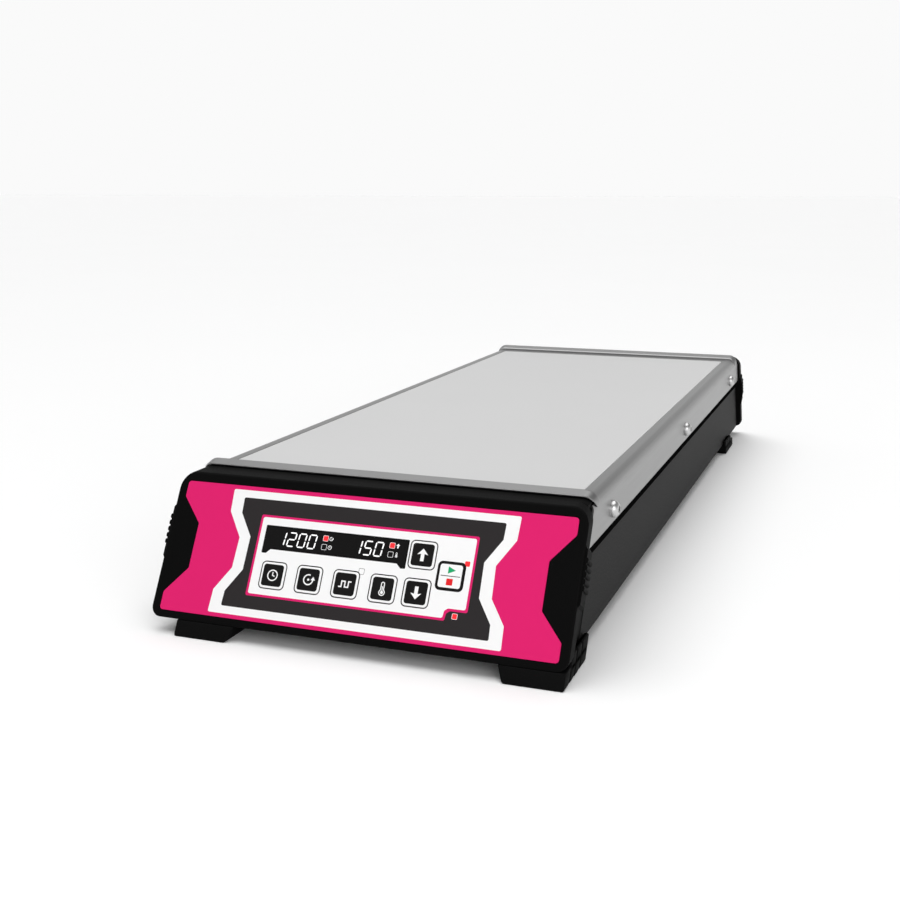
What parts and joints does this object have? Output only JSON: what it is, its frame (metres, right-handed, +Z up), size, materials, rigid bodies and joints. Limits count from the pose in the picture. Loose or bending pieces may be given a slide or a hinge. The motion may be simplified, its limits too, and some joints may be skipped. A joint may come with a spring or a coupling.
{
  "type": "multi-position hotplate stirrer",
  "caption": "Long flat bench stirrer with one heated plate over two rows of magnetic stirring places, a sloping keypad end and a connection end.",
  "frame": {"origin": "on the bench, under the middle of the whole instrument", "axes": "+Z up, +Y from the sloping keypad end to the connection end, +X to the right for someone who faces the keypad"},
  "size_m": [0.208, 0.5852, 0.0727],
  "materials": {
    "bezel_plastic": "black moulded plastic, satin",
    "fascia_print": "printed film, pink with a white band and a dark field",
    "display_pane": "smoked window, glossy",
    "key_plastic": "black printed key",
    "circuit_board": "green solder mask",
    "module_housing": "dark filled plastic",
    "cover_steel": "satin stainless steel",
    "plate_surface": "light grey, fine blasted",
    "pan_paint": "dark grey powder coat",
    "screw_steel": "polished domed head",
    "foot_rubber": "black, matt",
    "deck_steel": "zinc plated",
    "motor_case": "grey",
    "pulley_plastic": "natural acetal",
    "belt_rubber": "matt",
    "rotor_plastic": "glass-filled nylon",
    "magnet": "sintered ferrite",
    "heater_silicone": "silicone mat",
    "insulation_fibre": "mineral fibre board",
    "probe_steel": "bright",
    "inlet_plastic": "black moulded plastic",
    "panel_paint": "dark grey powder coat"
  },
  "bodies": {
    "housing": {"front_bezel": "bezel_plastic", "fascia_overlay": "fascia_print", "display_window": "display_pane", "display_module": "module_housing", "control_board": "circuit_board", "rear_bezel": "bezel_plastic", "rear_panel": "panel_paint", "mains_inlet": "inlet_plastic", "power_switch": "inlet_plastic", "top_cover": "cover_steel", "hot_plate": "plate_surface", "base_pan": "pan_paint", "drive_deck": "deck_steel", "motor": "motor_case", "drive_belt": "belt_rubber", "heater_mat": "heater_silicone", "insulation_board": "insulation_fibre", "plate_probe": "probe_steel", "power_supply": "circuit_board", "cover_screw_front_left": "screw_steel", "cover_screw_middle_left": "screw_steel", "cover_screw_rear_left": "screw_steel", "cover_screw_front_right": "screw_steel", "cover_screw_middle_right": "screw_steel", "cover_screw_rear_right": "screw_steel", "front_left_foot": "foot_rubber", "front_right_foot": "foot_rubber", "rear_left_foot": "foot_rubber", "rear_right_foot": "foot_rubber"},
    "motor_pulley": {"motor_pulley": "pulley_plastic"},
    "power_rocker": {"power_rocker": "inlet_plastic"},
    "time_key": {"time_key": "key_plastic"},
    "speed_key": {"speed_key": "key_plastic"},
    "pulse_key": {"pulse_key": "key_plastic"},
    "temperature_key": {"temperature_key": "key_plastic"},
    "down_key": {"down_key": "key_plastic"},
    "up_key": {"up_key": "key_plastic"},
    "start_stop_key": {"start_stop_key": "key_plastic"},
    "rotor_left_1": {"magnet_rotor_left_1": "rotor_plastic", "bar_magnet_left_1": "magnet"},
    "rotor_left_2": {"magnet_rotor_left_2": "rotor_plastic", "bar_magnet_left_2": "magnet"},
    "rotor_left_3": {"magnet_rotor_left_3": "rotor_plastic", "bar_magnet_left_3": "magnet"},
    "rotor_left_4": {"magnet_rotor_left_4": "rotor_plastic", "bar_magnet_left_4": "magnet"},
    "rotor_left_5": {"magnet_rotor_left_5": "rotor_plastic", "bar_magnet_left_5": "magnet"},
    "rotor_right_1": {"magnet_rotor_right_1": "rotor_plastic", "bar_magnet_right_1": "magnet"},
    "rotor_right_2": {"magnet_rotor_right_2": "rotor_plastic", "bar_magnet_right_2": "magnet"},
    "rotor_right_3": {"magnet_rotor_right_3": "rotor_plastic", "bar_magnet_right_3": "magnet"},
    "rotor_right_4": {"magnet_rotor_right_4": "rotor_plastic", "bar_magnet_right_4": "magnet"},
    "rotor_right_5": {"magnet_rotor_right_5": "rotor_plastic", "bar_magnet_right_5": "magnet"}
  },
  "joints": [
    {"name": "rotor_spin_left_1", "type": "hinge", "parent": "housing", "child": "rotor_left_1", "pos_m": [-0.045, -0.17809, 0.05], "axis": [0, 0, 1], "continuous": true},
    {"name": "rotor_spin_left_2", "type": "hinge", "parent": "housing", "child": "rotor_left_2", "pos_m": [-0.045, -0.08809, 0.05], "axis": [0, 0, 1], "continuous": true},
    {"name": "rotor_spin_left_3", "type": "hinge", "parent": "housing", "child": "rotor_left_3", "pos_m": [-0.045, 0.00191, 0.05], "axis": [0, 0, 1], "continuous": true},
    {"name": "rotor_spin_left_4", "type": "hinge", "parent": "housing", "child": "rotor_left_4", "pos_m": [-0.045, 0.09191, 0.05], "axis": [0, 0, 1], "continuous": true},
    {"name": "rotor_spin_left_5", "type": "hinge", "parent": "housing", "child": "rotor_left_5", "pos_m": [-0.045, 0.18191, 0.05], "axis": [0, 0, 1], "continuous": true},
    {"name": "rotor_spin_right_1", "type": "hinge", "parent": "housing", "child": "rotor_right_1", "pos_m": [0.045, -0.17809, 0.05], "axis": [0, 0, 1], "continuous": true},
    {"name": "rotor_spin_right_2", "type": "hinge", "parent": "housing", "child": "rotor_right_2", "pos_m": [0.045, -0.08809, 0.05], "axis": [0, 0, 1], "continuous": true},
    {"name": "rotor_spin_right_3", "type": "hinge", "parent": "housing", "child": "rotor_right_3", "pos_m": [0.045, 0.00191, 0.05], "axis": [0, 0, 1], "continuous": true},
    {"name": "rotor_spin_right_4", "type": "hinge", "parent": "housing", "child": "rotor_right_4", "pos_m": [0.045, 0.09191, 0.05], "axis": [0, 0, 1], "continuous": true},
    {"name": "rotor_spin_right_5", "type": "hinge", "parent": "housing", "child": "rotor_right_5", "pos_m": [0.045, 0.18191, 0.05], "axis": [0, 0, 1], "continuous": true},
    {"name": "motor_spin", "type": "hinge", "parent": "housing", "child": "motor_pulley", "pos_m": [0, -0.17809, 0.046], "axis": [0, 0, 1], "continuous": true},
    {"name": "time_key_press", "type": "slide", "parent": "housing", "child": "time_key", "axis": [0, 0.8746, -0.4848], "range_m": [0, 0.0006], "stiffness_N_per_m": 400, "springref_m": -0.0005},
    {"name": "speed_key_press", "type": "slide", "parent": "housing", "child": "speed_key", "axis": [0, 0.8746, -0.4848], "range_m": [0, 0.0006], "stiffness_N_per_m": 400, "springref_m": -0.0005},
    {"name": "pulse_key_press", "type": "slide", "parent": "housing", "child": "pulse_key", "axis": [0, 0.8746, -0.4848], "range_m": [0, 0.0006], "stiffness_N_per_m": 400, "springref_m": -0.0005},
    {"name": "temperature_key_press", "type": "slide", "parent": "housing", "child": "temperature_key", "axis": [0, 0.8746, -0.4848], "range_m": [0, 0.0006], "stiffness_N_per_m": 400, "springref_m": -0.0005},
    {"name": "down_key_press", "type": "slide", "parent": "housing", "child": "down_key", "axis": [0, 0.8746, -0.4848], "range_m": [0, 0.0006], "stiffness_N_per_m": 400, "springref_m": -0.0005},
    {"name": "up_key_press", "type": "slide", "parent": "housing", "child": "up_key", "axis": [0, 0.8746, -0.4848], "range_m": [0, 0.0006], "stiffness_N_per_m": 400, "springref_m": -0.0005},
    {"name": "start_stop_key_press", "type": "slide", "parent": "housing", "child": "start_stop_key", "axis": [0, 0.8746, -0.4848], "range_m": [0, 0.0006], "stiffness_N_per_m": 400, "springref_m": -0.0005},
    {"name": "rocker_tilt", "type": "hinge", "parent": "housing", "child": "power_rocker", "pos_m": [0.014, 0.27527, 0.03571], "axis": [1, 0, 0], "range_deg": [0, 12]}
  ],
  "couplings": [
    {"joint": "rotor_spin_left_2", "follows": "rotor_spin_left_1", "ratio": -1},
    {"joint": "rotor_spin_left_3", "follows": "rotor_spin_left_1", "ratio": 1},
    {"joint": "rotor_spin_left_4", "follows": "rotor_spin_left_1", "ratio": -1},
    {"joint": "rotor_spin_left_5", "follows": "rotor_spin_left_1", "ratio": 1},
    {"joint": "rotor_spin_right_1", "follows": "rotor_spin_left_1", "ratio": 1},
    {"joint": "rotor_spin_right_2", "follows": "rotor_spin_left_1", "ratio": -1},
    {"joint": "rotor_spin_right_3", "follows": "rotor_spin_left_1", "ratio": 1},
    {"joint": "rotor_spin_right_4", "follows": "rotor_spin_left_1", "ratio": -1},
    {"joint": "rotor_spin_right_5", "follows": "rotor_spin_left_1", "ratio": 1},
    {"joint": "motor_spin", "follows": "rotor_spin_left_1", "ratio": -1.229}
  ]
}
